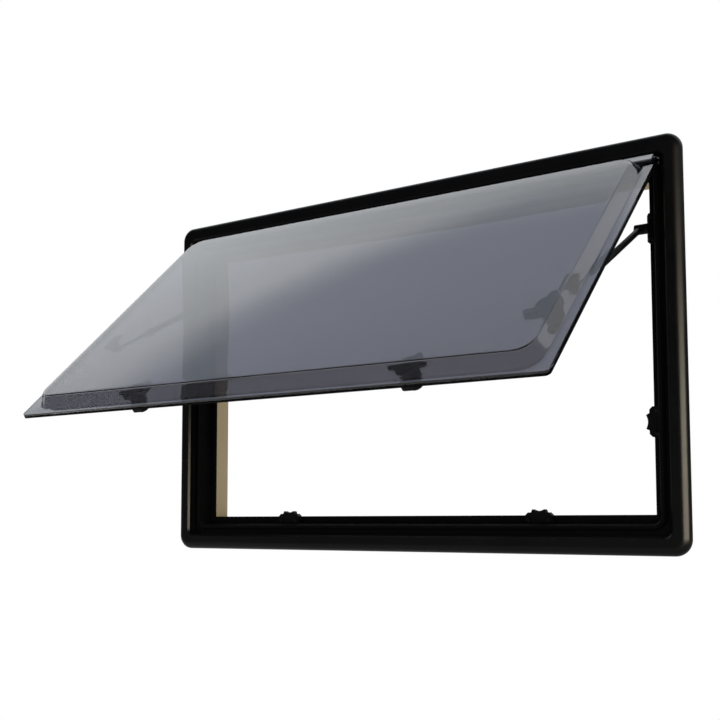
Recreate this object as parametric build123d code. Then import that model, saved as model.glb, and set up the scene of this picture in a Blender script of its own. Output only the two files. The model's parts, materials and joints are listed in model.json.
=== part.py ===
from build123d import *
import math
import os

# Top-hung caravan window, drawn with its pane open on its stays, in millimetres and degrees.
# X runs right as seen from outside, Y runs into the caravan and Z runs up.
# The origin lies on the flange's back face, in the middle of the sill flange.

# Wall and outer frame
CUTOUT_WIDTH = 900.0
CUTOUT_HEIGHT = 550.0
WALL_THICKNESS = 34.0
FLANGE_OVERLAP = 25.0
FLANGE_DEPTH = 14.0
FLANGE_CORNER_RADIUS = 24.0
FLANGE_NOSE_RADIUS = 12.0
FLANGE_INNER_CHAMFER = 3.0
CUTOUT_CLEARANCE = 1.0
GUTTER_WALL = 2.0
GUTTER_FOOT = 1.0
GUTTER_CORNER_RADIUS = 8.5

# Rebate that carries the seal and the lip round the aperture
SEAT_Y = 4.0
SEAT_WIDTH = 17.0
REBATE_WALL = 2.5
LIP_Y = 23.0
LIP_WIDTH = 13.0
LIP_THICKNESS = 3.0

# Inner trim that clamps the wall from inside
TRIM_WALL = 2.5
TRIM_OVERLAP = 13.0
TRIM_STANDOFF = 23.0
TRIM_CORNER_RADIUS = 14.0
TRIM_EDGE_CHAMFER = 2.0

# Hinge, a bead that turns in a C-shaped rail
RAIL_RADIUS = 6.0
RAIL_GAP = 0.5
RAIL_END_GAP = 3.0
BEAD_RADIUS = 4.0
BEAD_CLEARANCE = 0.05
RAIL_MOUTH_ANGLE = 26.0
RAIL_FOOT_WIDTH = 10.0
LEAF_THICKNESS = 2.0
LEAF_LENGTH = 22.0
LEAF_SEAL_GAP = 1.0
COVER_THICKNESS = 1.5
COVER_LAP = 4.0
OPEN_ANGLE = 47.7

# Pane of two acrylic sheets, the outer one with a raised field
PANE_SIDE_GAP = 6.0
PANE_BOTTOM_GAP = 10.0
PANE_TOP_GAP = 1.0
PANE_CORNER_RADIUS = 6.0
INNER_SHEET = 3.0
OUTER_SHEET = 4.0
FIELD_HEIGHT = 15.0
FIELD_SIDE_MARGIN = 13.0
FIELD_TOP_MARGIN = 11.0
FIELD_BOTTOM_MARGIN = 13.0
FIELD_RUN = 11.0
FIELD_CORNER_RADIUS = 22.0
FIELD_EDGE_RADIUS = 3.0

# Rubber seals
SEAL_WIDTH = 10.0
SEAL_WALL = 1.6
SEAL_CROWN_WIDTH = 4.0
SEAL_FOOT_HEIGHT = 2.0
SEAL_PINCH_GAP = 0.3
SEAL_CORNER_RADIUS = 16.0
HEAD_SEAL_WIDTH = 3.0

# Strikers on the lip, and the latches that turn behind them
STRIKER_THICKNESS = 9.0
STRIKER_HALF_BASE = 22.0
STRIKER_STEP_HALF = 17.5
STRIKER_STEP_RISE = 4.3
STRIKER_HORN_HALF = 10.0
STRIKER_HORN_RISE = 9.5
STRIKER_SADDLE_RISE = 6.5
STRIKER_EDGE_RADIUS = 1.2
BOTTOM_LATCH_X = 238.0
SIDE_LATCH_Z = 178.0
LATCH_BASE_RADIUS = 17.0
LATCH_BASE_HEIGHT = 6.0
LATCH_EAR_REACH = 28.0
LATCH_EAR_WIDTH = 11.0
LATCH_EAR_HEIGHT = 3.0
LATCH_STEM_RADIUS = 5.0
LATCH_HUB_RADIUS = 13.0
LATCH_HUB_HEIGHT = 18.0
LATCH_NECK_RADIUS = 7.5
LATCH_CAP = 2.0
LATCH_PLAY = 1.5
LATCH_CATCH = 3.5
TONGUE_LENGTH = 21.5
TONGUE_WIDTH = 14.0
TONGUE_THICKNESS = 5.0
LEVER_LENGTH = 36.0
LEVER_ROOT_WIDTH = 12.0
LEVER_TIP_WIDTH = 8.0
LEVER_TIP_RADIUS = 2.5
LEVER_GAP = 1.0
LEVER_DEPTH = 10.0
RUNNING_CLEARANCE = 0.05

# Telescopic stays between the jambs and the pane
STAY_LIP_GAP = 13.0
STAY_PIVOT_Y = 15.0
STAY_PIVOT_DROP = 128.5
STAY_PIN_RADIUS = 3.0
STAY_BOSS_RADIUS = 7.5
STAY_BOSS_LENGTH = 12.0
STAY_BRACKET_GAP = 1.0
STAY_PLATE_HEIGHT = 44.0
STAY_PLATE_THICKNESS = 9.0
STAY_PLATE_RADIUS = 3.0
STAY_PLATE_LEDGE = 2.0
STAY_TUBE_RADIUS = 4.8
STAY_COLLAR_RADIUS = 6.0
STAY_COLLAR_LENGTH = 12.0
STAY_TUBE_FLOOR = 20.0
STAY_ROD_RADIUS = 2.6
STAY_ROD_SHOWN_CLOSED = 24.0
STAY_ROD_ENGAGED = 40.0
STAY_EYE_RADIUS = 6.0
FOOT_LATCH_GAP = 2.0
FOOT_PIVOT_HEIGHT = 14.0
FOOT_LUG_GAP = 0.5
FOOT_LUG_THICKNESS = 3.5
FOOT_LENGTH = 34.0
FOOT_WIDTH = 16.0
FOOT_BASE = 3.0

# Sizes that follow from the ones above
OUTER_WIDTH = CUTOUT_WIDTH + 2 * FLANGE_OVERLAP
OUTER_HEIGHT = CUTOUT_HEIGHT + 2 * FLANGE_OVERLAP
FRAME_BOTTOM = -FLANGE_OVERLAP / 2
FRAME_TOP = FRAME_BOTTOM + OUTER_HEIGHT
FRAME_MIDDLE = FRAME_BOTTOM + OUTER_HEIGHT / 2
FLANGE_INSET = FLANGE_OVERLAP + CUTOUT_CLEARANCE
GUTTER_INSET = FLANGE_INSET + GUTTER_WALL
SEAT_INSET = GUTTER_INSET + SEAT_WIDTH
LIP_INSET = SEAT_INSET + LIP_WIDTH
SEAT_BACK = SEAT_Y + REBATE_WALL
LIP_BACK = LIP_Y + LIP_THICKNESS
HINGE_Y = SEAT_Y - RAIL_RADIUS
HINGE_Z = FRAME_TOP - GUTTER_INSET - RAIL_GAP - RAIL_RADIUS
PANE_BACK = HINGE_Y - LEAF_THICKNESS / 2
SHEET_JOINT = PANE_BACK - INNER_SHEET
RIM_FRONT = SHEET_JOINT - OUTER_SHEET
PANE_HALF_WIDTH = OUTER_WIDTH / 2 - FLANGE_INSET - PANE_SIDE_GAP
PANE_BOTTOM = FRAME_BOTTOM + FLANGE_INSET + PANE_BOTTOM_GAP
PANE_TOP = HINGE_Z - RAIL_RADIUS - PANE_TOP_GAP
LATCH_INSET = LIP_INSET + STRIKER_SADDLE_RISE - LATCH_CATCH + TONGUE_LENGTH
TONGUE_FRONT = LIP_Y + LATCH_PLAY
TONGUE_BACK = TONGUE_FRONT + TONGUE_THICKNESS
SEAL_INSET = SEAT_INSET - SEAL_WIDTH / 2
LEAF_HALF_LENGTH = OUTER_WIDTH / 2 - SEAL_INSET - SEAL_WIDTH / 2 - LEAF_SEAL_GAP
STAY_X = OUTER_WIDTH / 2 - LIP_INSET - STAY_LIP_GAP
STAY_PIVOT_Z = FRAME_TOP - STAY_PIVOT_DROP
FOOT_Z = SIDE_LATCH_Z + LATCH_EAR_REACH + FOOT_LATCH_GAP + FOOT_LENGTH / 2
FROM_BASE = (Align.CENTER, Align.CENTER, Align.MIN)


# A plane that faces outside at the depth y, with its own x along X and its own y along Z.
def facing_outside(y):
    return Plane(origin=(0, y, 0), x_dir=(1, 0, 0), z_dir=(0, -1, 0))


# A flat outline made solid from the depth front to the depth back.
def slab(outline, front, back):
    return extrude(facing_outside(back) * outline, amount=back - front)


# The frame's rectangle, drawn in by an inset on all four sides.
def frame_outline(inset, radius=0.0):
    width = OUTER_WIDTH - 2 * inset
    height = OUTER_HEIGHT - 2 * inset
    shape = RectangleRounded(width, height, radius) if radius > 0 else Rectangle(width, height)
    return Pos(0, FRAME_MIDDLE) * shape


# A ring round the window between two insets and two depths.
def frame_ring(outer_inset, inner_inset, front, back, outer_radius=0.0, inner_radius=0.0):
    outline = frame_outline(outer_inset, outer_radius) - frame_outline(inner_inset, inner_radius)
    return slab(outline, front, back)


# A ring cut at 45 degrees into its four members.
def mitred_members(ring, depth):
    half_width = OUTER_WIDTH / 2
    half_height = OUTER_HEIGHT / 2
    reach = depth * 1.2
    front = -FLANGE_DEPTH * 2
    back = (WALL_THICKNESS + TRIM_STANDOFF) * 2
    sill = Polygon(
        (-half_width, -half_height),
        (half_width, -half_height),
        (half_width - reach, reach - half_height),
        (reach - half_width, reach - half_height),
        align=None,
    )
    right = Polygon(
        (half_width, -half_height),
        (half_width, half_height),
        (half_width - reach, half_height - reach),
        (half_width - reach, reach - half_height),
        align=None,
    )
    wedges = {
        "sill": sill,
        "head": mirror(sill, about=Plane.XZ),
        "right": right,
        "left": mirror(right, about=Plane.YZ),
    }
    members = {}
    for side, wedge in wedges.items():
        members[side] = ring & slab(Pos(0, FRAME_MIDDLE) * wedge, front, back)
    return members


# The moulded ring: a bullnose flange on the wall and the gutter wall inside the cut-out.
def outer_frame():
    inner_radius = GUTTER_CORNER_RADIUS + GUTTER_WALL
    flange = frame_ring(0, FLANGE_INSET, -FLANGE_DEPTH, 0, FLANGE_CORNER_RADIUS, inner_radius)
    front = flange.faces().sort_by(Axis.Y)[0]
    flange = fillet(front.outer_wire().edges(), FLANGE_NOSE_RADIUS)
    front = flange.faces().sort_by(Axis.Y)[0]
    flange = chamfer(front.inner_wires()[0].edges(), FLANGE_INNER_CHAMFER)
    gutter = frame_ring(
        FLANGE_INSET, GUTTER_INSET, -GUTTER_FOOT, SEAT_BACK, inner_radius, GUTTER_CORNER_RADIUS
    )
    return flange + gutter


# The rebate: a seat for the seal, a riser and the lip that frames the aperture.
def rebate_members():
    riser_inset = SEAT_INSET - REBATE_WALL
    seat = frame_ring(GUTTER_INSET, SEAT_INSET, SEAT_Y, SEAT_BACK, GUTTER_CORNER_RADIUS)
    riser = frame_ring(riser_inset, SEAT_INSET, SEAT_BACK, LIP_BACK)
    lip = frame_ring(SEAT_INSET, LIP_INSET, LIP_Y, LIP_BACK)
    return mitred_members(seat + riser + lip, LIP_INSET)


# The inner trim: a clamp flange on the inner wall, a raised face and the reveal.
def inner_trim_members():
    face_back = WALL_THICKNESS + TRIM_STANDOFF
    face_front = face_back - TRIM_WALL
    flange_back = WALL_THICKNESS + TRIM_WALL
    edge_inset = FLANGE_OVERLAP - TRIM_OVERLAP
    side_inset = FLANGE_OVERLAP
    reveal_inset = LIP_INSET - TRIM_WALL
    edge_radius = TRIM_CORNER_RADIUS + side_inset - edge_inset
    wall_radius = TRIM_CORNER_RADIUS - TRIM_WALL
    flange = frame_ring(
        edge_inset, side_inset + TRIM_WALL, WALL_THICKNESS, flange_back, edge_radius, wall_radius
    )
    side = frame_ring(
        side_inset, side_inset + TRIM_WALL, flange_back, face_front, TRIM_CORNER_RADIUS, wall_radius
    )
    face = frame_ring(side_inset, LIP_INSET, face_front, face_back, TRIM_CORNER_RADIUS)
    reveal = frame_ring(reveal_inset, LIP_INSET, LIP_BACK, face_front)
    ring = flange + side + face + reveal
    rear = ring.faces().sort_by(Axis.Y)[-1]
    ring = chamfer(rear.outer_wire().edges(), TRIM_EDGE_CHAMFER)
    return mitred_members(ring, LIP_INSET)


# The pressed bulb seal along both jambs and the sill.
def weather_seal():
    side = OUTER_WIDTH / 2 - SEAL_INSET
    low = FRAME_BOTTOM + SEAL_INSET
    high = FRAME_TOP - SEAT_INSET - RAIL_GAP
    corners = [(-side, high), (-side, low), (side, low), (side, high)]
    path = facing_outside(SEAT_Y) * FilletPolyline(*corners, radius=SEAL_CORNER_RADIUS)
    height = SEAT_Y - PANE_BACK - SEAL_PINCH_GAP
    half_foot = SEAL_WIDTH / 2
    half_crown = SEAL_CROWN_WIDTH / 2
    outer = bulb(half_foot, half_crown, SEAL_FOOT_HEIGHT, height)
    hollow = Pos(0, SEAL_WALL) * bulb(
        half_foot - SEAL_WALL,
        half_crown - SEAL_WALL / 2,
        SEAL_FOOT_HEIGHT - SEAL_WALL / 2,
        height - 2 * SEAL_WALL,
    )
    section = Plane(origin=(-side, SEAT_Y, high), x_dir=(1, 0, 0), z_dir=(0, 0, -1)) * (outer - hollow)
    return sweep(section, path=path)


# A pressed bulb's section: an upright foot with shoulders that lean in to a flat crown.
def bulb(half_foot, half_crown, foot_height, height):
    return Polygon(
        (half_foot, 0),
        (half_foot, foot_height),
        (half_crown, height),
        (-half_crown, height),
        (-half_foot, foot_height),
        (-half_foot, 0),
        align=None,
    )


# The small lip seal under the hinge rail.
def head_seal():
    low = FRAME_TOP - SEAT_INSET
    height = SEAT_Y - HINGE_Y - LEAF_THICKNESS / 2 - SEAL_PINCH_GAP
    strip = Pos(0, low + HEAD_SEAL_WIDTH / 2) * Rectangle(2 * PANE_HALF_WIDTH, HEAD_SEAL_WIDTH)
    return slab(strip, SEAT_Y - height, SEAT_Y)


# A plane across the window at its left, for sections that run along X.
def across(x):
    return Plane(origin=(x, HINGE_Y, HINGE_Z), x_dir=(0, 1, 0), z_dir=(1, 0, 0))


# The C-shaped rail with a flat foot on the seat, open downward and outward for the leaf.
def hinge_rail():
    half_length = PANE_HALF_WIDTH - RAIL_END_GAP
    groove = BEAD_RADIUS + BEAD_CLEARANCE
    foot_reach = SEAT_Y - HINGE_Y
    foot = Pos(foot_reach / 2, 0) * Rectangle(foot_reach, RAIL_FOOT_WIDTH)
    reach = 2 * RAIL_RADIUS
    first = math.radians(270 + RAIL_MOUTH_ANGLE)
    last = math.radians(270 - OPEN_ANGLE - RAIL_MOUTH_ANGLE)
    middle = (first + last) / 2
    mouth = Polygon(
        (0, 0),
        (reach * math.cos(first), reach * math.sin(first)),
        (reach * math.cos(middle), reach * math.sin(middle)),
        (reach * math.cos(last), reach * math.sin(last)),
        align=None,
    )
    section = Circle(RAIL_RADIUS) + foot - Circle(groove) - mouth
    return extrude(across(-half_length) * section, amount=2 * half_length)


# The bead and its leaf, bonded to the back of the pane's top rim between the seal's ends.
# A web over the pane's top edge joins the leaf to a cover strip on the rim's front.
def hinge_leaf():
    cover_half_length = PANE_HALF_WIDTH - PANE_CORNER_RADIUS
    rim_front = RIM_FRONT - HINGE_Y
    pane_top = PANE_TOP - HINGE_Z
    leaf = Pos(0, -LEAF_LENGTH / 2) * Rectangle(LEAF_THICKNESS, LEAF_LENGTH)
    section = Circle(BEAD_RADIUS) + leaf
    web = Pos(rim_front / 2, pane_top + PANE_TOP_GAP / 2) * Rectangle(-rim_front, PANE_TOP_GAP)
    strip_height = COVER_LAP - pane_top
    strip = Pos(rim_front - COVER_THICKNESS / 2, -strip_height / 2) * Rectangle(COVER_THICKNESS, strip_height)
    hinge = extrude(across(-LEAF_HALF_LENGTH) * (section + web), amount=2 * LEAF_HALF_LENGTH)
    return hinge + extrude(across(-cover_half_length) * strip, amount=2 * cover_half_length)


# The pane's outline, seen from outside.
def pane_outline():
    height = PANE_TOP - PANE_BOTTOM
    shape = RectangleRounded(2 * PANE_HALF_WIDTH, height, PANE_CORNER_RADIUS)
    return Pos(0, PANE_BOTTOM + height / 2) * shape


# The raised field's block, drawn in by a wall and cut off at a height.
def field_block(wall, front, back):
    foot_half = PANE_HALF_WIDTH - FIELD_SIDE_MARGIN - wall
    foot_low = PANE_BOTTOM + FIELD_BOTTOM_MARGIN + wall
    foot_high = PANE_TOP - FIELD_TOP_MARGIN - wall
    crown_half = foot_half - FIELD_RUN
    crown_low = foot_low + FIELD_RUN
    crown_high = foot_high - FIELD_RUN
    radius = FIELD_CORNER_RADIUS - wall
    foot = Pos(0, (foot_low + foot_high) / 2) * RectangleRounded(
        2 * foot_half, foot_high - foot_low, radius
    )
    crown = Pos(0, (crown_low + crown_high) / 2) * RectangleRounded(
        2 * crown_half, crown_high - crown_low, radius
    )
    return loft([facing_outside(back) * foot, facing_outside(front) * crown])


# The outer sheet, blown out into a hollow raised field.
def outer_pane():
    field_front = RIM_FRONT - FIELD_HEIGHT
    rim = slab(pane_outline(), RIM_FRONT, SHEET_JOINT)
    field = field_block(0, field_front, RIM_FRONT)
    crown = field.faces().sort_by(Axis.Y)[0]
    field = fillet(crown.outer_wire().edges(), FIELD_EDGE_RADIUS)
    hollow = field_block(OUTER_SHEET, field_front + OUTER_SHEET, SHEET_JOINT)
    return rim + field - hollow


# The flat inner sheet, bonded to the rim.
def inner_pane():
    return slab(pane_outline(), SHEET_JOINT, PANE_BACK)


# A crown-shaped striker, drawn with the lip's edge along x and the aperture above it.
def striker():
    arc = ThreePointArc(
        (-STRIKER_HORN_HALF, STRIKER_HORN_RISE),
        (0, STRIKER_SADDLE_RISE),
        (STRIKER_HORN_HALF, STRIKER_HORN_RISE),
    )
    horn_foot = STRIKER_HORN_HALF + STRIKER_EDGE_RADIUS * 2
    right = Polyline(
        (STRIKER_HORN_HALF, STRIKER_HORN_RISE),
        (horn_foot, STRIKER_STEP_RISE),
        (STRIKER_STEP_HALF, STRIKER_STEP_RISE),
        (STRIKER_HALF_BASE, 0),
        (STRIKER_HALF_BASE, -LIP_WIDTH),
        (0, -LIP_WIDTH),
    )
    outline = make_face([arc, right, mirror(right, about=Plane.YZ)])
    outline = fillet(outline.vertices().group_by(Axis.Y)[-1], STRIKER_EDGE_RADIUS)
    return slab(outline, LIP_Y - STRIKER_THICKNESS, LIP_Y)


# The three strikers on the sill and on the right jamb.
def strikers():
    lip_edge_x = OUTER_WIDTH / 2 - LIP_INSET
    lip_edge_z = FRAME_BOTTOM + LIP_INSET
    catch = striker()
    return {
        "striker_bottom_left": Pos(-BOTTOM_LATCH_X, 0, lip_edge_z) * catch,
        "striker_bottom_right": Pos(BOTTOM_LATCH_X, 0, lip_edge_z) * catch,
        "striker_right": Pos(lip_edge_x, 0, SIDE_LATCH_Z) * Rot(0, -90, 0) * catch,
    }


# A round latch base with two screw ears and the stem that its handle turns on, on the pane's back.
def latch_base():
    base_back = PANE_BACK + LATCH_BASE_HEIGHT
    disc = slab(Circle(LATCH_BASE_RADIUS), PANE_BACK, base_back)
    ear_outline = Rot(0, 0, 90) * SlotOverall(2 * LATCH_EAR_REACH, LATCH_EAR_WIDTH)
    ears = slab(ear_outline, PANE_BACK, PANE_BACK + LATCH_EAR_HEIGHT)
    stem = slab(Circle(LATCH_STEM_RADIUS), base_back, TONGUE_BACK - LATCH_CAP)
    return disc + ears + stem


# A latch handle at rest, unlocked: its lever points to -X and its tongue to -Z.
# The lever stands low beside the hub, and a neck carries the tongue behind the striker.
def latch_handle():
    seat = PANE_BACK + LATCH_BASE_HEIGHT + RUNNING_CLEARANCE
    hub_back = seat + LATCH_HUB_HEIGHT
    lever_front = seat + LEVER_GAP
    tip = TONGUE_LENGTH - TONGUE_WIDTH / 2
    tongue = Pos(0, -tip / 2) * Rectangle(TONGUE_WIDTH, tip) + Pos(0, -tip) * Circle(TONGUE_WIDTH / 2)
    lever = Polygon(
        (0, LEVER_ROOT_WIDTH / 2),
        (-LEVER_LENGTH, LEVER_TIP_WIDTH / 2),
        (-LEVER_LENGTH, -LEVER_TIP_WIDTH / 2),
        (0, -LEVER_ROOT_WIDTH / 2),
        align=None,
    )
    lever = fillet(lever.vertices().group_by(Axis.X)[0], LEVER_TIP_RADIUS)
    body = slab(Circle(LATCH_HUB_RADIUS), seat, hub_back)
    body += slab(Circle(LATCH_NECK_RADIUS), hub_back, TONGUE_BACK)
    body += slab(tongue, TONGUE_FRONT, TONGUE_BACK)
    body += slab(lever, lever_front, lever_front + LEVER_DEPTH)
    bore_end = TONGUE_BACK - LATCH_CAP + RUNNING_CLEARANCE
    return body - slab(Circle(LATCH_STEM_RADIUS + RUNNING_CLEARANCE), seat, bore_end)


# Where each latch sits on the closed pane, and how far it is turned about Y.
def latch_places():
    low = FRAME_BOTTOM + LATCH_INSET
    side = OUTER_WIDTH / 2 - LATCH_INSET
    return {
        "bottom_left": Pos(-BOTTOM_LATCH_X, 0, low) * Rot(0, 90, 0),
        "bottom_right": Pos(BOTTOM_LATCH_X, 0, low) * Rot(0, 90, 0),
        "right": Pos(side, 0, SIDE_LATCH_Z),
    }


# A piece of the closed pane, swung out to the open pose.
def opened(piece):
    return piece.rotate(Axis((0, HINGE_Y, HINGE_Z), (1, 0, 0)), -OPEN_ANGLE)


# The stay's pivots and lengths, in the plane of the right stay.
def stay_line():
    pivot = Vector(STAY_X, STAY_PIVOT_Y, STAY_PIVOT_Z)
    foot_closed = Vector(STAY_X, PANE_BACK + FOOT_PIVOT_HEIGHT, FOOT_Z)
    foot_open = opened(Vertex(*foot_closed)).center()
    tube_length = (foot_closed - pivot).length - STAY_ROD_SHOWN_CLOSED
    return pivot, foot_open, tube_length


# The plate on the jamb's lip, with the boss and the pin that the stay turns on.
def stay_bracket():
    jamb = OUTER_WIDTH / 2 - SEAT_INSET
    edge = OUTER_WIDTH / 2 - LIP_INSET - STAY_PLATE_LEDGE
    inner = STAY_X + STAY_BOSS_LENGTH / 2 + STAY_BRACKET_GAP
    plate = Pos((edge + jamb) / 2, LIP_Y - STAY_PLATE_THICKNESS / 2, STAY_PIVOT_Z) * Box(
        jamb - edge, STAY_PLATE_THICKNESS, STAY_PLATE_HEIGHT
    )
    plate = chamfer(plate.faces().sort_by(Axis.X)[0].edges(), STAY_PLATE_RADIUS)
    along_pin = Plane(origin=(edge + STAY_PLATE_RADIUS, STAY_PIVOT_Y, STAY_PIVOT_Z), z_dir=(-1, 0, 0))
    boss_length = edge + STAY_PLATE_RADIUS - inner
    pin_length = boss_length + STAY_BRACKET_GAP + STAY_BOSS_LENGTH
    boss = extrude(along_pin * Circle(STAY_BOSS_RADIUS), amount=boss_length)
    pin = extrude(along_pin * Circle(STAY_PIN_RADIUS), amount=pin_length)
    return plate + boss + pin


# A plane at the stay's pivot that looks along the open stay.
def along_stay():
    pivot, foot_open = stay_line()[:2]
    return Plane(origin=pivot, x_dir=(1, 0, 0), z_dir=foot_open - pivot)


# The outer tube of the stay, with its pivot boss and its end collar.
def stay_tube():
    tube_length = stay_line()[2]
    bore_radius = STAY_ROD_RADIUS + RUNNING_CLEARANCE
    bore_length = tube_length - STAY_TUBE_FLOOR
    tube = Cylinder(STAY_TUBE_RADIUS, tube_length, align=FROM_BASE)
    collar = Pos(0, 0, tube_length - STAY_COLLAR_LENGTH) * Cylinder(
        STAY_COLLAR_RADIUS, STAY_COLLAR_LENGTH, align=FROM_BASE
    )
    boss = Rot(0, 90, 0) * Cylinder(STAY_BOSS_RADIUS, STAY_BOSS_LENGTH)
    eye = Rot(0, 90, 0) * Cylinder(STAY_PIN_RADIUS + RUNNING_CLEARANCE, STAY_BOSS_LENGTH)
    bore = Pos(0, 0, STAY_TUBE_FLOOR) * Cylinder(bore_radius, bore_length, align=FROM_BASE)
    return along_stay() * (tube + collar + boss - eye - bore)


# The rod that slides in the tube, with a flat eye at the pane's foot.
def stay_rod():
    pivot, foot_open, tube_length = stay_line()
    open_length = (foot_open - pivot).length
    start = tube_length - STAY_ROD_ENGAGED
    rod = Pos(0, 0, start) * Cylinder(STAY_ROD_RADIUS, open_length - start, align=FROM_BASE)
    eye = Pos(0, 0, open_length) * Rot(0, 90, 0) * Cylinder(STAY_EYE_RADIUS, 2 * STAY_ROD_RADIUS)
    return along_stay() * (rod + eye)


# The triangular foot on the pane's back, with its lug beside the rod's eye.
def stay_foot():
    lug_inner = STAY_X + STAY_ROD_RADIUS + FOOT_LUG_GAP
    lug_plane = Plane(origin=(lug_inner, PANE_BACK, FOOT_Z), x_dir=(0, 1, 0), z_dir=(1, 0, 0))
    top = Pos(FOOT_PIVOT_HEIGHT, 0) * Circle(STAY_EYE_RADIUS)
    base = Pos(FOOT_BASE / 2, 0) * Rectangle(FOOT_BASE, FOOT_LENGTH)
    lug = extrude(lug_plane * make_hull((top + base).edges()), amount=FOOT_LUG_THICKNESS)
    plate = Pos(STAY_X, PANE_BACK + FOOT_BASE / 2, FOOT_Z) * Box(FOOT_WIDTH, FOOT_BASE, FOOT_LENGTH)
    return opened(lug + plate)


# Every piece of the window, by its name.
def window():
    pieces = {"outer_frame": outer_frame()}
    for side, member in rebate_members().items():
        pieces["rebate_" + side] = member
    for side, member in inner_trim_members().items():
        pieces["inner_trim_" + side] = member
    pieces["weather_seal"] = weather_seal()
    pieces["head_seal"] = head_seal()
    pieces["hinge_rail"] = hinge_rail()
    pieces.update(strikers())
    pieces["hinge_leaf"] = opened(hinge_leaf())
    pieces["outer_pane"] = opened(outer_pane())
    pieces["inner_pane"] = opened(inner_pane())
    for name, place in latch_places().items():
        pieces["latch_base_" + name] = opened(place * latch_base())
        pieces["latch_handle_" + name] = opened(place * latch_handle())
    stay = {
        "stay_bracket": stay_bracket(),
        "stay_tube": stay_tube(),
        "stay_rod": stay_rod(),
        "stay_foot": stay_foot(),
    }
    for name, piece in stay.items():
        pieces[name + "_right"] = piece
        pieces[name + "_left"] = mirror(piece, about=Plane.YZ)
    return pieces


os.makedirs("parts", exist_ok=True)
for name, piece in window().items():
    export_step(piece, "parts/" + name + ".step")
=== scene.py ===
import bpy
import json
import math
from mathutils import Euler, Matrix, Vector


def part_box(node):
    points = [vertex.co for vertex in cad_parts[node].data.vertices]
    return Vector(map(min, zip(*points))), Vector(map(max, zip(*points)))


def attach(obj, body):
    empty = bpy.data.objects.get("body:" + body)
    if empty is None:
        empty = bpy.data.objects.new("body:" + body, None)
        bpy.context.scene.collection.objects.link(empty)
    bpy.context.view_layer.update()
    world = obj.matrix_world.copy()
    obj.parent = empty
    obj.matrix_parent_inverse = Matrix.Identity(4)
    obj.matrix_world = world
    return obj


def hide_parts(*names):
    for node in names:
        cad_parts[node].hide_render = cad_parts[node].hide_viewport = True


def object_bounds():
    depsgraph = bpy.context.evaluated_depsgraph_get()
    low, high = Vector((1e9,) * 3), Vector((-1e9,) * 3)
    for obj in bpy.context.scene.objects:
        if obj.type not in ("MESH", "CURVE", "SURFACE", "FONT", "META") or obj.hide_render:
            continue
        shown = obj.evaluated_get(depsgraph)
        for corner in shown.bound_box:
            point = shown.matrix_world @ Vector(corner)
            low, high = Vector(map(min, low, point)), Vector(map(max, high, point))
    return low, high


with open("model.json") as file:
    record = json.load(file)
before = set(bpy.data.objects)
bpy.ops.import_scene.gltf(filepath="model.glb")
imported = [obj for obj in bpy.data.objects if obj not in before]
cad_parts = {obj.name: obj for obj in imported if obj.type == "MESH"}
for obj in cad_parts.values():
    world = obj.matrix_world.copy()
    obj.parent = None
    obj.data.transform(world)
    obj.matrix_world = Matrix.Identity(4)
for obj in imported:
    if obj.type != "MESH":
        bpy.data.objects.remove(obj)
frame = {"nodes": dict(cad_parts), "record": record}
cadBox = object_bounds()
print("frame loaded:", len(frame["nodes"]), "nodes")

mm = 0.001  # the pieces are sized in millimetres, Blender and the studio in metres


def jointNamed(name):
    return next(j for j in frame["record"]["behaviour"]["joints"] if j["name"] == name)


# The pane is drawn open, so its pieces are modelled on the closed pane and swung out with it.
paneJoint = jointNamed("pane_hinge")
hingePoint = Vector(paneJoint["pos_m"])
openAngle = math.radians(min(paneJoint["range_deg"]))
toHinge = Matrix.Translation(hingePoint)
swingOut = toHinge @ Matrix.Rotation(openAngle, 4, "X") @ toHinge.inverted()
swingShut = swingOut.inverted()


def closedBox(nodeName):
    spots = [swingShut @ v.co for v in frame["nodes"][nodeName].data.vertices]
    low = Vector(min(p[i] for p in spots) for i in range(3))
    high = Vector(max(p[i] for p in spots) for i in range(3))
    return low, high


# Colours and nodes

# Turns an sRGB hex value to linear, by the sRGB curve.
def hexColour(code):
    parts = [int(code[i:i + 2], 16) / 255 for i in (1, 3, 5)]
    linear = [p / 12.92 if p <= 0.04045 else ((p + 0.055) / 1.055) ** 2.4 for p in parts]
    return (*linear, 1.0)


def addNode(tree, kind, settings=None, links=None):
    node = tree.nodes.new(kind)
    for key, value in (settings or {}).items():
        if isinstance(key, int) or key in node.inputs:
            node.inputs[key].default_value = value
        else:
            setattr(node, key, value)
    for key, source in (links or {}).items():
        tree.links.new(source, node.inputs[key])
    return node


def newMaterial(name, settings):
    material = bpy.data.materials.new(name)
    material.use_nodes = True
    tree = material.node_tree
    shader = tree.nodes["Principled BSDF"]
    for key, value in settings.items():
        shader.inputs[key].default_value = value
    return material, tree, shader


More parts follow.
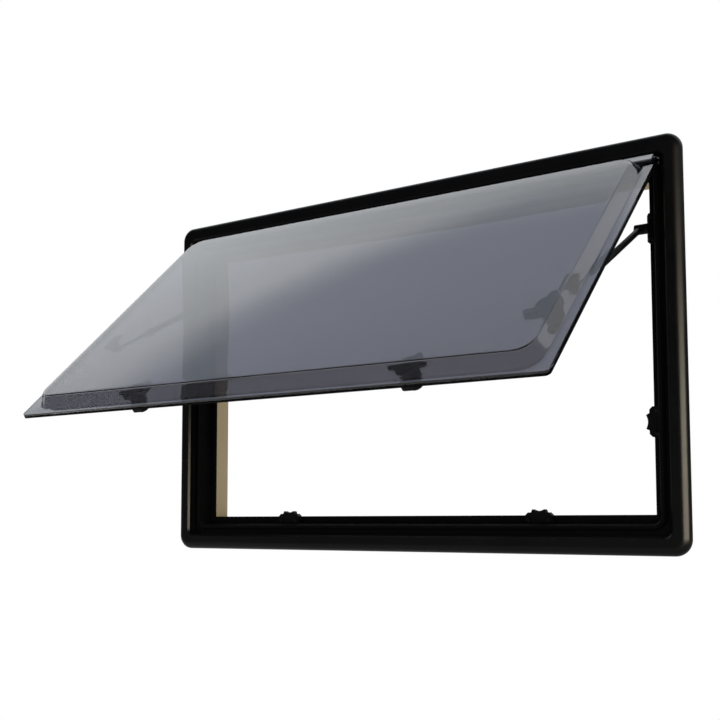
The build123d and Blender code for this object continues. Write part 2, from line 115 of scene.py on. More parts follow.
# A fine grain that goes to the bump, and a slow drift that goes to colour and roughness.
def moulded(parts, grain, depth, drift, tones, roughs, stretch=(1, 1, 1)):
    material, tree, shader = parts
    place = addNode(tree, "ShaderNodeTexCoord").outputs["Object"]
    place = addNode(tree, "ShaderNodeMapping", {"Scale": stretch}, {"Vector": place}).outputs["Vector"]
    fine = addNode(tree, "ShaderNodeTexNoise",
                   {"Scale": 1 / grain, "Detail": 3.0, "Roughness": 0.6}, {"Vector": place})
    slow = addNode(tree, "ShaderNodeTexNoise",
                   {"Scale": 1 / drift, "Detail": 4.0, "Roughness": 0.55}, {"Vector": place})
    bump = addNode(tree, "ShaderNodeBump", {"Strength": 1.0, "Distance": depth},
                   {"Height": fine.outputs["Fac"]})
    tone = addNode(tree, "ShaderNodeMix",
                   {"data_type": "RGBA", 6: hexColour(tones[0]), 7: hexColour(tones[1])},
                   {0: slow.outputs["Fac"]})  # sockets 6 and 7 are the two colours
    rough = addNode(tree, "ShaderNodeMapRange",
                    {"From Min": 0.3, "From Max": 0.7, "To Min": roughs[0], "To Max": roughs[1]},
                    {"Value": slow.outputs["Fac"]})
    tree.links.new(tone.outputs[2], shader.inputs["Base Color"])
    tree.links.new(rough.outputs["Result"], shader.inputs["Roughness"])
    tree.links.new(bump.outputs["Normal"], shader.inputs["Normal"])
    return material


# Satin black polyurethane, moulded in a grained tool: dark, with a soft broad sheen on the rounding.
# The tool's grain is about 0.4 mm and is drawn at 1.4 mm so that it shows.
def flangeMoulding():
    parts = newMaterial("moulded_polyurethane_satin_black", {"Specular IOR Level": 0.1})
    return moulded(parts, grain=1.4 * mm, depth=0.02 * mm, drift=90 * mm,
                   tones=("#060607", "#0a0a0c"), roughs=(0.3, 0.38))


# Extruded black ABS of the rebate: smoother than the flange, with faint shallow waves from the die.
def rebateProfile():
    parts = newMaterial("extruded_abs_black", {"Specular IOR Level": 0.04})
    return moulded(parts, grain=3.0 * mm, depth=0.01 * mm, drift=60 * mm,
                   tones=("#060607", "#0a0a0c"), roughs=(0.34, 0.44))


# ABS trim from a spark-eroded tool, an even matt: its cream is a painted reflection of warm light on the
# reveal.
# The tool's grain is about 0.3 mm and is drawn at 1.2 mm so that it shows.
def trimCreamPaintedReflection():
    parts = newMaterial("abs_cream_painted_reflection", {"Specular IOR Level": 0.35})
    return moulded(parts, grain=1.2 * mm, depth=0.03 * mm, drift=120 * mm,
                   tones=("#b3a17c", "#bfae8a"), roughs=(0.46, 0.56))


# EPDM rubber of the bulb seals: dull, a little uneven and a little grey with bloom.
def sealRubber():
    parts = newMaterial("epdm_rubber", {"Specular IOR Level": 0.04})
    return moulded(parts, grain=2.0 * mm, depth=0.04 * mm, drift=30 * mm,
                   tones=("#080808", "#0e0e0d"), roughs=(0.65, 0.8))


# Grey anodised aluminium extrusion: a soft metal sheen drawn out along the bar.
# Its die lines are about 0.3 mm apart and are drawn at 2 mm so that they show.
def hingeExtrusion():
    parts = newMaterial("anodised_aluminium_grey", {"Metallic": 1.0})
    return moulded(parts, grain=2.0 * mm, depth=0.006 * mm, drift=40 * mm,
                   tones=("#6d6f73", "#7d7f83"), roughs=(0.24, 0.36), stretch=(0.02, 1, 1))


# Glass-filled nylon of latches, strikers and stay fittings: matt with a mottled sheen.
# The tool's grain is about 0.4 mm and is drawn at 1.6 mm so that it shows.
def latchNylon():
    parts = newMaterial("moulded_nylon_black", {"Specular IOR Level": 0.08})
    return moulded(parts, grain=1.6 * mm, depth=0.03 * mm, drift=12 * mm,
                   tones=("#08080a", "#0e0e10"), roughs=(0.42, 0.56))


# Black powder coat on the stay's tube, with the orange peel of the cured film.
def stayCoat():
    parts = newMaterial("powder_coat_black", {"Specular IOR Level": 0.08})
    return moulded(parts, grain=1.8 * mm, depth=0.05 * mm, drift=25 * mm,
                   tones=("#0c0c0e", "#131315"), roughs=(0.34, 0.44))


# Drawn stainless rod: bright, with fine lines along its length, drawn at 1 mm so that they show.
def stayRod():
    parts = newMaterial("drawn_stainless_steel", {"Metallic": 1.0})
    return moulded(parts, grain=1.0 * mm, depth=0.01 * mm, drift=18 * mm,
                   tones=("#8c8d90", "#a3a4a6"), roughs=(0.22, 0.34), stretch=(1, 0.1, 0.15))


# Zinc-plated screw and rivet heads: pale and a little cloudy, with a grain drawn at 1 mm so that it shows.
def fastenerZinc():
    parts = newMaterial("zinc_plated_steel", {"Metallic": 1.0})
    return moulded(parts, grain=1.0 * mm, depth=0.01 * mm, drift=8 * mm,
                   tones=("#8f8f8c", "#a9a8a2"), roughs=(0.28, 0.42))


# Phosphated screw heads: a dark, dull film on steel, with a grain drawn at 1 mm so that it shows.
def fastenerBlack():
    parts = newMaterial("phosphated_steel_black", {"Metallic": 1.0})
    return moulded(parts, grain=1.0 * mm, depth=0.01 * mm, drift=8 * mm,
                   tones=("#222224", "#2e2e30"), roughs=(0.35, 0.5))


# Grey smoked acrylic, blow formed: clear and glossy, with the slow waves that forming leaves.
def smokedAcrylic(name, wave, depth):
    material, tree, shader = newMaterial(name, {
        "Base Color": hexColour("#929299"),
        "Roughness": 0.0,
        "IOR": 1.49,
        "Transmission Weight": 1.0,
    })
    place = addNode(tree, "ShaderNodeTexCoord").outputs["Object"]
    slow = addNode(tree, "ShaderNodeTexNoise", {"Scale": 1 / wave, "Detail": 1.0}, {"Vector": place})
    bump = addNode(tree, "ShaderNodeBump", {"Strength": 1.0, "Distance": depth},
                   {"Height": slow.outputs["Fac"]})
    tree.links.new(bump.outputs["Normal"], shader.inputs["Normal"])
    return material


# The sawn edge of the pane, sealed black: matt, with the saw's unevenness showing through.
def edgeSealer():
    parts = newMaterial("edge_sealer_black", {"Specular IOR Level": 0.03})
    return moulded(parts, grain=2.0 * mm, depth=0.03 * mm, drift=20 * mm,
                   tones=("#040406", "#08070b"), roughs=(0.45, 0.6))


# Vinyl infill that hides the hinge's fixings, extruded with faint lines along it: its light grey is a
# painted reflection along the pane's top edge.
def infillPaintedReflection():
    parts = newMaterial("infill_grey_painted_reflection", {"Specular IOR Level": 0.3})
    return moulded(parts, grain=2.0 * mm, depth=0.01 * mm, drift=50 * mm,
                   tones=("#a6a8ac", "#b2b4b8"), roughs=(0.38, 0.48), stretch=(0.05, 1, 1))


finishes = {
    "flange": flangeMoulding(),
    "rebate": rebateProfile(),
    "trim": trimCreamPaintedReflection(),
    "rubber": sealRubber(),
    "hinge": hingeExtrusion(),
    "nylon": latchNylon(),
    "coat": stayCoat(),
    "rod": stayRod(),
    "zinc": fastenerZinc(),
    "blackScrew": fastenerBlack(),
    "outerAcrylic": smokedAcrylic("smoked_acrylic_outer", wave=220 * mm, depth=0.4 * mm),
    "innerAcrylic": smokedAcrylic("smoked_acrylic_inner", wave=300 * mm, depth=0.2 * mm),
    "edge": edgeSealer(),
    "infill": infillPaintedReflection(),
}
nodeFinish = {  # by how a node's name starts
    "outer_frame": "flange",
    "rebate": "rebate",
    "inner_trim": "trim",
    "weather_seal": "rubber",
    "head_seal": "rubber",
    "hinge": "hinge",
    "striker": "nylon",
    "latch": "nylon",
    "stay_bracket": "nylon",
    "stay_foot": "nylon",
    "stay_tube": "coat",
    "stay_rod": "rod",
    "outer_pane": "outerAcrylic",
    "inner_pane": "innerAcrylic",
}
for nodeName, node in frame["nodes"].items():
    finish = next(nodeFinish[start] for start in nodeFinish if nodeName.startswith(start))
    for materialSlot in node.material_slots:
        materialSlot.material = finishes[finish]
print("finishes on the CAD nodes:", len(finishes))


# Modelling helpers

def startPiece(name):
    if bpy.context.mode != "OBJECT":
        bpy.ops.object.mode_set(mode="OBJECT")
    bpy.ops.object.select_all(action="DESELECT")
    print("piece:", name)


def endPiece(piece, name, finish, body):
    piece.name = name
    piece.data.name = name
    piece.data.materials.clear()
    piece.data.materials.append(finishes[finish])
    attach(piece, body)


# A rounded rectangle of edges, upright and facing the front.
def addOutline(middle, width, height, corner, cornerSteps):
    bpy.ops.object.select_all(action="DESELECT")
    bpy.ops.mesh.primitive_plane_add(size=1, location=middle, rotation=(math.pi / 2, 0, 0))
    outline = bpy.context.object
    outline.scale = (width, height, 1)
    bpy.ops.object.transform_apply(location=True, rotation=True, scale=True)
    bpy.ops.object.mode_set(mode="EDIT")
    bpy.ops.mesh.select_all(action="SELECT")
    bpy.ops.mesh.bevel(offset=corner, segments=cornerSteps, affect="VERTICES")
    bpy.ops.mesh.delete(type="ONLY_FACE")
    bpy.ops.object.mode_set(mode="OBJECT")
    return outline


def addBlock(middle, size, turn=0.0):
    bpy.ops.object.select_all(action="DESELECT")
    bpy.ops.mesh.primitive_cube_add(size=1, location=middle, rotation=(0, 0, turn))
    block = bpy.context.object
    block.scale = size
    bpy.ops.object.transform_apply(location=True, rotation=True, scale=True)
    return block


def roundEdges(offset, steps):
    bpy.ops.mesh.select_all(action="SELECT")
    bpy.ops.mesh.bevel(offset=offset, segments=steps, affect="EDGES")


def joinPieces(pieces):
    bpy.ops.object.select_all(action="DESELECT")
    for piece in pieces:
        piece.select_set(True)
    bpy.context.view_layer.objects.active = pieces[0]
    if len(pieces) > 1:
        bpy.ops.object.join()
    return bpy.context.object


# The outer sheet, blown out into a raised field with soft edges: it shows in place of the CAD's plain one.
paneShell = {"sheet": 4 * mm, "seam": 0.05 * mm, "outline": 6 * mm, "sideMargin": 13 * mm,
             "bottomMargin": 13 * mm, "topMargin": 11 * mm, "run": 11 * mm, "crownCorner": 26 * mm,
             "crownRound": 7 * mm, "footRound": 5 * mm, "roundSteps": 7, "cornerSteps": 10,
             "smoothBelow": math.radians(30)}


# One ring of the shell, kept as a vertex group so that it can be bridged to the next.
def shellRing(group, halfWidth, low, high, corner, y):
    ring = addOutline((0, y, (low + high) / 2), 2 * halfWidth, high - low, corner, paneShell["cornerSteps"])
    ring.vertex_groups.new(name=group).add([v.index for v in ring.data.vertices], 1.0, "REPLACE")
    return ring


# Steps outwards and back from the crown's edge: round the crown, down the slope, round the foot.
def shellProfile(rise):
    run, crown, foot = paneShell["run"], paneShell["crownRound"], paneShell["footRound"]
    slope = math.atan2(rise, run)
    bends = [slope * i / paneShell["roundSteps"] for i in range(paneShell["roundSteps"] + 1)]
    crownStart = -crown * math.tan(slope / 2)
    footEnd = run + foot * math.tan(slope / 2)
    steps = [(crownStart + crown * math.sin(b), crown - crown * math.cos(b)) for b in bends]
    steps += [(footEnd - foot * math.sin(b), rise - foot + foot * math.cos(b)) for b in reversed(bends)]
    return steps


def selectRings(*groups):
    bpy.ops.mesh.select_all(action="DESELECT")
    for group in groups:
        bpy.ops.object.vertex_group_set_active(group=group)
        bpy.ops.object.vertex_group_select()


def makePaneShell():
    startPiece("pane_shell")
    low, high = closedBox("inner_pane")
    crownFront = closedBox("outer_pane")[0].y
    rimFront = low.y - paneShell["sheet"]
    halfCrown = high.x - paneShell["sideMargin"] - paneShell["run"]
    lowCrown = low.z + paneShell["bottomMargin"] + paneShell["run"]
    highCrown = high.z - paneShell["topMargin"] - paneShell["run"]
    steps = shellProfile(rimFront - crownFront)
    groups = ["ring" + str(i) for i in range(len(steps))] + ["outline"]
    rings = [shellRing(group, halfCrown + out, lowCrown - out, highCrown + out,
                       paneShell["crownCorner"] + out, crownFront + back)
             for group, (out, back) in zip(groups, steps)]
    rings.append(shellRing(groups[-1], high.x, low.z, high.z, paneShell["outline"],
                           rimFront + paneShell["run"]))  # stands back until it is bridged
    shell = joinPieces(rings)
    bpy.ops.object.mode_set(mode="EDIT")
    bpy.ops.mesh.select_mode(type="VERT")
    for inner, outer in zip(groups, groups[1:]):
        selectRings(inner, outer)
        bpy.ops.mesh.bridge_edge_loops()
    selectRings(groups[-1])
    bpy.ops.transform.translate(value=(0, -paneShell["run"], 0))
    selectRings(groups[0])
    bpy.ops.mesh.edge_face_add()
    bpy.ops.mesh.select_all(action="SELECT")
    bpy.ops.mesh.normals_make_consistent(inside=False)
    bpy.ops.object.mode_set(mode="OBJECT")
    shell.vertex_groups.clear()
    wall = shell.modifiers.new("wall", "SOLIDIFY")
    wall.thickness = paneShell["sheet"] - paneShell["seam"]
    wall.offset = -1.0  # inwards
    wall.use_even_offset = True
    bpy.ops.object.modifier_apply(modifier="wall")
    shell.data.transform(swingOut)
    bpy.ops.object.shade_smooth_by_angle(angle=paneShell["smoothBelow"])
    endPiece(shell, "pane_shell", "outerAcrylic", "pane")
    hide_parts("outer_pane")


makePaneShell()


# The pane's sealed edge: a thin band round the inner sheet.
paneEdge = {"gap": 0.05 * mm, "wall": 0.6 * mm, "corner": 6 * mm, "cornerSteps": 6, "front": 3.8 * mm,
            "back": 0.3 * mm}


def makePaneEdge():
    startPiece("pane_edge")
    low, high = closedBox("inner_pane")
    front = low.y - paneShell["sheet"] + paneEdge["front"]
    width = high.x - low.x + 2 * paneEdge["gap"]
    height = high.z - low.z + 2 * paneEdge["gap"]
    middle = ((low.x + high.x) / 2, front, (low.z + high.z) / 2)
    band = addOutline(middle, width, height, paneEdge["corner"], paneEdge["cornerSteps"])
    bpy.ops.object.mode_set(mode="EDIT")
    bpy.ops.mesh.select_all(action="SELECT")
    depth = high.y - paneEdge["back"] - front
    bpy.ops.mesh.extrude_edges_move(TRANSFORM_OT_translate={"value": (0, depth, 0)})
    bpy.ops.mesh.select_all(action="SELECT")
    bpy.ops.mesh.normals_make_consistent(inside=False)
    bpy.ops.object.mode_set(mode="OBJECT")
    wall = band.modifiers.new("wall", "SOLIDIFY")
    wall.thickness = paneEdge["wall"]
    wall.offset = 1.0  # outwards
    bpy.ops.object.modifier_apply(modifier="wall")
    band.data.transform(swingOut)
    endPiece(band, "pane_edge", "edge", "pane")


makePaneEdge()


# The infill strip on the hinge's cover, along the pane's top; its lip closes the cover's edge to the pane.
# Its light grey is a painted reflection.
infillStrip = {"proud": 0.3 * mm, "sunk": 0.2 * mm, "margin": 1.5 * mm, "coverLap": 4 * mm, "lip": 4 * mm,
               "seam": 0.05 * mm, "round": 0.2 * mm, "roundSteps": 2, "facesBack": 0.9}


def makeInfillStrip():
    startPiece("hinge_infill")
    low, high = closedBox("hinge_leaf")
    sheet = closedBox("inner_pane")
    coverEdge = sheet[1].z - infillStrip["coverLap"] - infillStrip["seam"]
    bottom = coverEdge - infillStrip["lip"]
    top = hingePoint.z - infillStrip["margin"]
    front = low.y - infillStrip["proud"]
    back = low.y + infillStrip["sunk"]
    strip = addBlock((0, (front + back) / 2, (bottom + top) / 2),
                     (high.x - low.x - 2 * infillStrip["margin"], back - front, top - bottom))
    bpy.ops.object.mode_set(mode="EDIT")
    bpy.ops.mesh.select_all(action="SELECT")
    bpy.ops.mesh.bisect(plane_co=(0, 0, coverEdge), plane_no=(0, 0, 1))
    bpy.ops.mesh.select_mode(type="FACE")
    bpy.ops.mesh.select_all(action="DESELECT")
    bpy.ops.object.mode_set(mode="OBJECT")
    for face in strip.data.polygons:
        face.select = face.normal.y > infillStrip["facesBack"] and face.center.z < coverEdge
    bpy.ops.object.mode_set(mode="EDIT")
    toPane = sheet[0].y - paneShell["sheet"] - infillStrip["seam"] - back
    bpy.ops.mesh.extrude_region_move(TRANSFORM_OT_translate={"value": (0, toPane, 0)})
    roundEdges(infillStrip["round"], infillStrip["roundSteps"])
    bpy.ops.object.mode_set(mode="OBJECT")
    strip.data.transform(swingOut)
    endPiece(strip, "hinge_infill", "infill", "pane")


makeInfillStrip()


# Small fasteners are modelled once, head up at the origin, then copied to their places.

smallSmoothBelow = math.radians(40)  # for the fasteners and the grip ribs


def removeMaster(master):
    mesh = master.data
    bpy.data.objects.remove(master)
    bpy.data.meshes.remove(mesh)


def joinCopies(master, places, name, finish, body):
    startPiece(name)
    copies = []
    for place in places:
        twin = master.copy()
        twin.data = master.data.copy()
        twin.data.transform(place)
        bpy.context.collection.objects.link(twin)
        copies.append(twin)
    piece = joinPieces(copies)
    bpy.ops.object.shade_smooth_by_angle(angle=smallSmoothBelow)
    endPiece(piece, name, finish, body)


# Turns a head's axis from up to one of the frame's directions.
facing = {
    "+Y": Matrix.Rotation(-math.pi / 2, 4, "X"),
    "-Y": Matrix.Rotation(math.pi / 2, 4, "X"),
    "+X": Matrix.Rotation(math.pi / 2, 4, "Y"),
    "-X": Matrix.Rotation(-math.pi / 2, 4, "Y"),
}
screwTurn = math.radians(37)  # each screw stops at another angle


def placed(spots, way, carrier=Matrix(), flatten=1.0):
    low = Matrix.Diagonal((1, 1, flatten, 1))
    return [carrier @ Matrix.Translation(spot) @ facing[way] @ Matrix.Rotation(i * screwTurn, 4, "Z") @ low
            for i, spot in enumerate(spots)]


# A round head that stands on the origin, with the edge round its top rounded.
def makeRoundHead(name, head):
    startPiece(name)
    middle = head["lift"] + head["height"] / 2
    bpy.ops.mesh.primitive_cylinder_add(vertices=head["sides"], radius=head["radius"], depth=head["height"],
                                        location=(0, 0, middle))
    piece = bpy.context.object
    bpy.ops.object.transform_apply(location=True, rotation=True, scale=True)
    bpy.ops.object.mode_set(mode="EDIT")
    bpy.ops.mesh.select_mode(type="EDGE")
    bpy.ops.mesh.select_all(action="DESELECT")
    bpy.ops.object.mode_set(mode="OBJECT")
    for edge in piece.data.edges:
        edge.select = all(piece.data.vertices[v].co.z > middle for v in edge.vertices)
    bpy.ops.object.mode_set(mode="EDIT")
    bpy.ops.mesh.bevel(offset=head["round"], segments=head["roundSteps"], affect="EDGES")
    bpy.ops.object.mode_set(mode="OBJECT")
    return piece


# Pan-head screw with a cross recess
panHead = {"radius": 3.3 * mm, "height": 2.0 * mm, "lift": 0 * mm, "sides": 24, "round": 1.1 * mm,
           "roundSteps": 4, "slotLength": 3.6 * mm, "slotWidth": 0.8 * mm, "slotDepth": 1.1 * mm}


def makePanHead():
    head = makeRoundHead("pan head master", panHead)
    for turn in (0, math.pi / 2):
        slotCutter = addBlock((0, 0, panHead["height"]),
                              (panHead["slotLength"], panHead["slotWidth"], 2 * panHead["slotDepth"]), turn)
        bpy.ops.object.select_all(action="DESELECT")
        head.select_set(True)
        bpy.context.view_layer.objects.active = head
        recess = head.modifiers.new("recess", "BOOLEAN")
        recess.operation = "DIFFERENCE"
        recess.object = slotCutter
        bpy.ops.object.modifier_apply(modifier="recess")
        removeMaster(slotCutter)
    return head


# Domed rivet head
rivetHead = {"radius": 4.3 * mm, "height": 1.8 * mm, "lift": 0.05 * mm, "sides": 28, "round": 1.53 * mm,
             "roundSteps": 5}


# Clamp screws of the inner trim
trimScrews = {"fromEdge": 6.5 * mm, "flange": 2.5 * mm, "cornerGap": 60 * mm, "across": 7, "upright": 4}


def spread(low, high, count):
    return [low + (high - low) * i / (count - 1) for i in range(count)]


def trimScrewSpots():
    clamp = next(m for m in frame["record"]["mounts"] if m["name"] == "trim_clamp")
    y = clamp["pos_m"][1] + trimScrews["flange"]
    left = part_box("inner_trim_left")[0][0] + trimScrews["fromEdge"]
    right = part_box("inner_trim_right")[1][0] - trimScrews["fromEdge"]
    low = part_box("inner_trim_sill")[0][2] + trimScrews["fromEdge"]
    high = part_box("inner_trim_head")[1][2] - trimScrews["fromEdge"]
    gap = trimScrews["cornerGap"]
    across = spread(left + gap, right - gap, trimScrews["across"])
    upright = spread(low + gap, high - gap, trimScrews["upright"])
    spots = [(x, y, z) for z in (low, high) for x in across]
    spots += [(x, y, z) for x in (left, right) for z in upright]
    return spots


# Screws of the strikers and the stay brackets, on their outer faces
lipScrews = {"strikerHalf": 16.5 * mm, "strikerFoot": 6.0 * mm, "plate": 9 * mm,
             "plateEdge": 6.5 * mm, "plateHalf": 16 * mm}


def lipScrewSpots():
    spots = []
    for side in ("bottom_left", "bottom_right"):
        low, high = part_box("striker_" + side)
        for way in (-1, 1):
            spots.append(((low[0] + high[0]) / 2 + way * lipScrews["strikerHalf"], low[1],
                          low[2] + lipScrews["strikerFoot"]))
    low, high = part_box("striker_right")
    for way in (-1, 1):
        spots.append((high[0] - lipScrews["strikerFoot"], low[1],
                      (low[2] + high[2]) / 2 + way * lipScrews["strikerHalf"]))
    for side in ("left", "right"):
        low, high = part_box("stay_bracket_" + side)
        x = low[0] + lipScrews["plateEdge"] if side == "left" else high[0] - lipScrews["plateEdge"]
        middle = (low[2] + high[2]) / 2
        for way in (-1, 1):
            spots.append((x, high[1] - lipScrews["plate"], middle + way * lipScrews["plateHalf"]))
    return spots


# Screws in the latch ears and the stay feet, on the closed pane's inner face
paneScrews = {"earHalf": 22.5 * mm, "earHeight": 3 * mm, "footHeight": 3 * mm, "footEdge": 4.8 * mm,
              "footHalf": 11 * mm, "flatten": 0.6}


def paneScrewSpots():
    spots = []
    for latch in ("bottom_left", "bottom_right", "right"):
        low, high = closedBox("latch_base_" + latch)
        middle = (low + high) / 2
        along = Vector((0, 0, 1)) if latch == "right" else Vector((1, 0, 0))
        for way in (-1, 1):
            spot = middle + along * way * paneScrews["earHalf"]
            spots.append((spot.x, low.y + paneScrews["earHeight"], spot.z))
    for side in ("left", "right"):
        low, high = closedBox("stay_foot_" + side)
        x = high.x - paneScrews["footEdge"] if side == "left" else low.x + paneScrews["footEdge"]
        middle = (low.z + high.z) / 2
        for way in (-1, 1):
            spots.append((x, low.y + paneScrews["footHeight"], middle + way * paneScrews["footHalf"]))
    return spots


# Rivets of the stays: on the bracket's pin, the foot's lug and the rod's eye
stayRivets = {"eyeHeight": 14 * mm, "lugFace": 6.6 * mm}


def makeStayRivets(master):
    for side, inward, outward in (("left", "+X", "-X"), ("right", "-X", "+X")):
        sign = -1 if side == "left" else 1
        inner = 1 if side == "left" else 0  # the end of a box that lies towards the middle
        joint = jointNamed("stay_" + side + "_pivot")
        foot = closedBox("stay_foot_" + side)
        middle = (foot[0] + foot[1]) / 2
        height = foot[0].y + stayRivets["eyeHeight"]
        pin = (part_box("stay_tube_" + side)[inner][0], joint["pos_m"][1], joint["pos_m"][2])
        lug = (middle.x + sign * stayRivets["lugFace"], height, middle.z)
        eye = swingOut @ Vector((0, height, middle.z))
        eye.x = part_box("stay_rod_" + side)[inner][0]
        sets = (("pivot_rivet_", placed([pin], inward), "frame"),
                ("lug_rivet_", placed([lug], outward, swingOut), "pane"),
                ("eye_rivet_", placed([eye], inward), "stay_rod_" + side))
        for name, places, body in sets:
            joinCopies(master, places, name + side, "zinc", body)


# Grip ribs across each latch lever
gripRibs = {"first": 19 * mm, "pitch": 3.2 * mm, "count": 5, "thick": 1.3 * mm, "proud": 0.55 * mm,
            "deep": 7.5 * mm, "rise": 6.0 * mm, "rootWidth": 12 * mm, "tipWidth": 8 * mm, "lever": 36 * mm,
            "round": 0.45 * mm, "roundSteps": 3}
# As drawn, the bottom levers point up the pane and the right one inwards.
leverTurns = {"bottom_left": math.pi / 2, "bottom_right": math.pi / 2, "right": 0}


def makeGripRibs(latch, turn):
    startPiece("grip_ribs_" + latch)
    axis = swingShut @ Vector(jointNamed("latch_" + latch + "_turn")["pos_m"])
    handle = closedBox("latch_handle_" + latch)
    ribs = []
    for i in range(gripRibs["count"]):
        reach = gripRibs["first"] + i * gripRibs["pitch"]
        taper = (gripRibs["tipWidth"] - gripRibs["rootWidth"]) * reach / gripRibs["lever"]
        across = gripRibs["rootWidth"] + taper + 2 * gripRibs["proud"]
        ribs.append(addBlock((-reach, gripRibs["rise"], 0), (gripRibs["thick"], gripRibs["deep"], across)))
        bpy.ops.object.mode_set(mode="EDIT")
        roundEdges(gripRibs["round"], gripRibs["roundSteps"])
        bpy.ops.object.mode_set(mode="OBJECT")
    grip = joinPieces(ribs)
    place = Matrix.Translation((axis.x, handle[0].y, axis.z)) @ Matrix.Rotation(turn, 4, "Y")
    grip.data.transform(swingOut @ place)
    bpy.ops.object.shade_smooth_by_angle(angle=smallSmoothBelow)
    endPiece(grip, "grip_ribs_" + latch, "nylon", "latch_" + latch)


screwMaster = makePanHead()
joinCopies(screwMaster, placed(trimScrewSpots(), "+Y"), "trim_screws", "zinc", "frame")
joinCopies(screwMaster, placed(lipScrewSpots(), "-Y"), "lip_screws", "blackScrew", "frame")
onPane = placed(paneScrewSpots(), "+Y", swingOut, paneScrews["flatten"])
joinCopies(screwMaster, onPane, "pane_screws", "blackScrew", "pane")
removeMaster(screwMaster)
rivetMaster = makeRoundHead("rivet head master", rivetHead)
makeStayRivets(rivetMaster)
removeMaster(rivetMaster)
for latch, turn in leverTurns.items():
    makeGripRibs(latch, turn)


# Studio: pale floor, white backdrop, soft light

studio = {
    "floorDrop": 0.62,
    "floorSize": 60.0,
    "floorTone": "#e9e8e6",
    "shadowReach": (0.9, 1.7),  # the floor's shadow fades out between these distances
    "shadowShare": 0.75,  # how much plain white it keeps before that
    "fill": 0.75,
    "skyAxis": (-0.279, -0.367, 0.887),  # the mirrored sky turns from low to high along this
    "skyLow": ("#f7fcff", 1.545),  # tone and brightness
    "skyHigh": ("#deebff", 0.83),
    "skyTurn": (0.719, 0.764, 0.0),  # fades: where each starts and ends, and its darkest share
    "front": (-0.05, 0.2, 0.06),
    "horizon": (0.2, 0.55, 0.05),
}


# White to the eye, with a faint shadow near the part; pale to what mirrors it.
def makeFloor():
    startPiece("floor")
    low = cadBox[0].z - studio["floorDrop"]
    bpy.ops.mesh.primitive_plane_add(size=studio["floorSize"], location=(0, 0, low))
    floor = bpy.context.object
    floor.name = "studio_floor"
    material = bpy.data.materials.new("studio_floor_pale")
    material.use_nodes = True
    tree = material.node_tree
    tree.nodes.clear()
    path = addNode(tree, "ShaderNodeLightPath")
    place = addNode(tree, "ShaderNodeTexCoord")
    far = addNode(tree, "ShaderNodeVectorMath", {"operation": "LENGTH"}, {0: place.outputs["Object"]})
    near = addNode(tree, "ShaderNodeMapRange",
                   {"From Min": studio["shadowReach"][0], "From Max": studio["shadowReach"][1],
                    "To Min": studio["shadowShare"], "To Max": 1.0}, {"Value": far.outputs["Value"]})
    seen = addNode(tree, "ShaderNodeMath", {"operation": "MAXIMUM"},
                   {0: path.outputs["Is Camera Ray"], 1: path.outputs["Is Transmission Ray"]})
    share = addNode(tree, "ShaderNodeMath", {"operation": "MULTIPLY"},
                    {0: seen.outputs[0], 1: near.outputs["Result"]})
    pale = addNode(tree, "ShaderNodeBsdfDiffuse", {"Color": hexColour(studio["floorTone"])})
    white = addNode(tree, "ShaderNodeEmission", {"Color": (1, 1, 1, 1), "Strength": 1.0})
    mixed = addNode(tree, "ShaderNodeMixShader", {},
                    {0: share.outputs[0], 1: pale.outputs[0], 2: white.outputs[0]})
    addNode(tree, "ShaderNodeOutputMaterial", {}, {"Surface": mixed.outputs[0]})
    floor.data.materials.append(material)


def skyColour(sky):
    return (*(part * sky[1] for part in hexColour(sky[0])[:3]), 1.0)


# White to the eye and through the pane; what shines sees a soft sky behind, a dark front and horizon.
def makeWorld():
    world = bpy.data.worlds.new("studio_white")
    bpy.context.scene.world = world
    world.use_nodes = True
    tree = world.node_tree
    tree.nodes.clear()
    path = addNode(tree, "ShaderNodeLightPath")
    way = addNode(tree, "ShaderNodeTexCoord").outputs["Generated"]
    parts = addNode(tree, "ShaderNodeSeparateXYZ", {}, {0: way})
    along = addNode(tree, "ShaderNodeVectorMath",
                    {"operation": "DOT_PRODUCT", 1: Vector(studio["skyAxis"])}, {0: way})
    values = {"skyTurn": along.outputs["Value"], "front": parts.outputs["Y"], "horizon": parts.outputs["Z"]}
    fades = {}
    for name, value in values.items():
        start, end, darkest = studio[name]
        fade = addNode(tree, "ShaderNodeMapRange",
                       {"interpolation_type": "SMOOTHSTEP", "From Min": start, "From Max": end,
                        "To Min": darkest, "To Max": 1.0}, {"Value": value})
        fades[name] = fade.outputs["Result"]
    sky = addNode(tree, "ShaderNodeMix",
                  {"data_type": "RGBA", 6: skyColour(studio["skyLow"]), 7: skyColour(studio["skyHigh"])},
                  {0: fades["skyTurn"]})
    share = addNode(tree, "ShaderNodeMath", {"operation": "MULTIPLY"},
                    {0: fades["front"], 1: fades["horizon"]})
    shine = addNode(tree, "ShaderNodeVectorMath", {"operation": "SCALE"},
                    {0: sky.outputs[2], "Scale": share.outputs[0]})
    fill = (studio["fill"], studio["fill"], studio["fill"], 1.0)
    white = (1.0, 1.0, 1.0, 1.0)
    glossy = addNode(tree, "ShaderNodeMix", {"data_type": "RGBA", 6: fill},
                     {0: path.outputs["Is Glossy Ray"], 7: shine.outputs[0]})
    through = addNode(tree, "ShaderNodeMix", {"data_type": "RGBA", 7: white},
                      {0: path.outputs["Is Transmission Ray"], 6: glossy.outputs[2]})
    seen = addNode(tree, "ShaderNodeMix", {"data_type": "RGBA", 7: white},
                   {0: path.outputs["Is Camera Ray"], 6: through.outputs[2]})
    light = addNode(tree, "ShaderNodeBackground", {"Strength": 1.0}, {"Color": seen.outputs[2]})
    addNode(tree, "ShaderNodeOutputWorld", {}, {"Surface": light.outputs[0]})


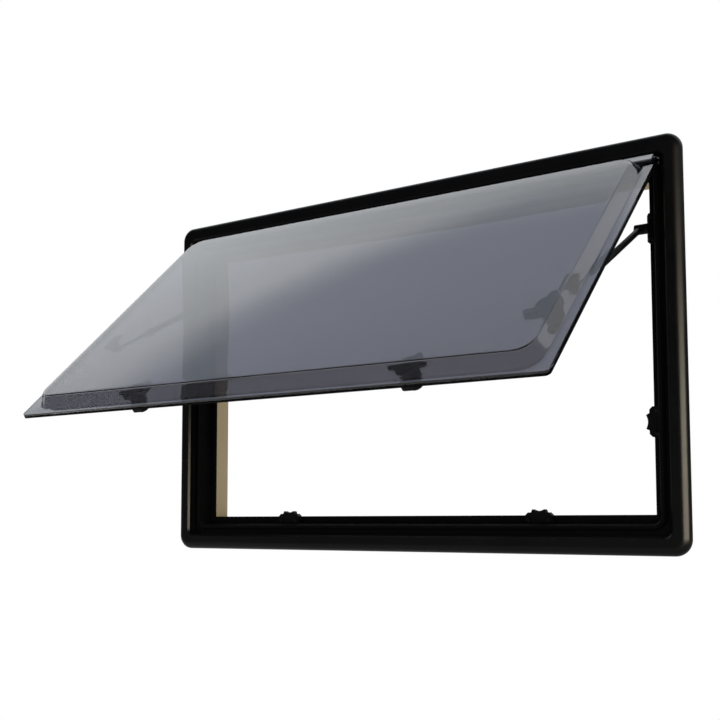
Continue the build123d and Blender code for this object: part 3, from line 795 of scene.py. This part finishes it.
# One lamp lights and is not mirrored; the other only shows as a highlight, on the black mouldings.
lamps = {
    "key_soft_box": {"place": (-1.6, -2.4, 2.6), "size": (1.8, 1.2), "watts": 45, "tint": "#ffffff",
                     "mirrored": False},
    "side_highlight": {"place": (2.0, -1.29, 0.2), "size": (2.8, 0.8), "watts": 220, "tint": "#fff3da",
                       "mirrored": True},
}


# What the highlight falls on: in clear sheets and bare metal it would show as stark white.
def blackMouldings():
    mouldings = bpy.data.collections.new("black_mouldings")
    for nodeName, node in frame["nodes"].items():
        if nodeName.startswith(("outer_frame", "rebate")):
            mouldings.objects.link(node)
    return mouldings


def makeLamps():
    middle = (cadBox[0] + cadBox[1]) / 2
    mouldings = blackMouldings()
    for name, lamp in lamps.items():
        light = bpy.data.lights.new(name, "AREA")
        light.shape = "RECTANGLE"
        light.size = lamp["size"][0]
        light.size_y = lamp["size"][1]
        light.energy = lamp["watts"]
        light.color = hexColour(lamp["tint"])[:3]
        holder = bpy.data.objects.new(name, light)
        holder.location = lamp["place"]
        holder.visible_glossy = lamp["mirrored"]
        holder.visible_diffuse = not lamp["mirrored"]
        holder.visible_transmission = False
        if lamp["mirrored"]:
            holder.light_linking.receiver_collection = mouldings
        holder.rotation_euler = (middle - Vector(lamp["place"])).to_track_quat("-Z", "Y").to_euler()
        bpy.context.collection.objects.link(holder)


photoCamera = {
    "place": (0.9374, -1.499, 0.0386),
    "yaw": 34.095,
    "pitch": 4.634,
    "roll": 0.092,
    "lens": 54.35,
    "sensor": 36.0,
    "shiftY": 0.1,
}


def makeCamera():
    eye = bpy.data.cameras.new("photo_camera")
    eye.sensor_width = photoCamera["sensor"]
    eye.lens = photoCamera["lens"]
    eye.shift_y = photoCamera["shiftY"]
    holder = bpy.data.objects.new("photo_camera", eye)
    holder.location = photoCamera["place"]
    upright = Euler((math.radians(90 + photoCamera["pitch"]), 0, math.radians(photoCamera["yaw"])))
    tilted = upright.to_matrix() @ Matrix.Rotation(-math.radians(photoCamera["roll"]), 3, "Z")
    holder.rotation_euler = tilted.to_euler()
    bpy.context.collection.objects.link(holder)
    bpy.context.scene.camera = holder


makeFloor()
makeWorld()
makeLamps()
makeCamera()
bpy.context.scene.view_settings.view_transform = "Standard"
print("studio ready")
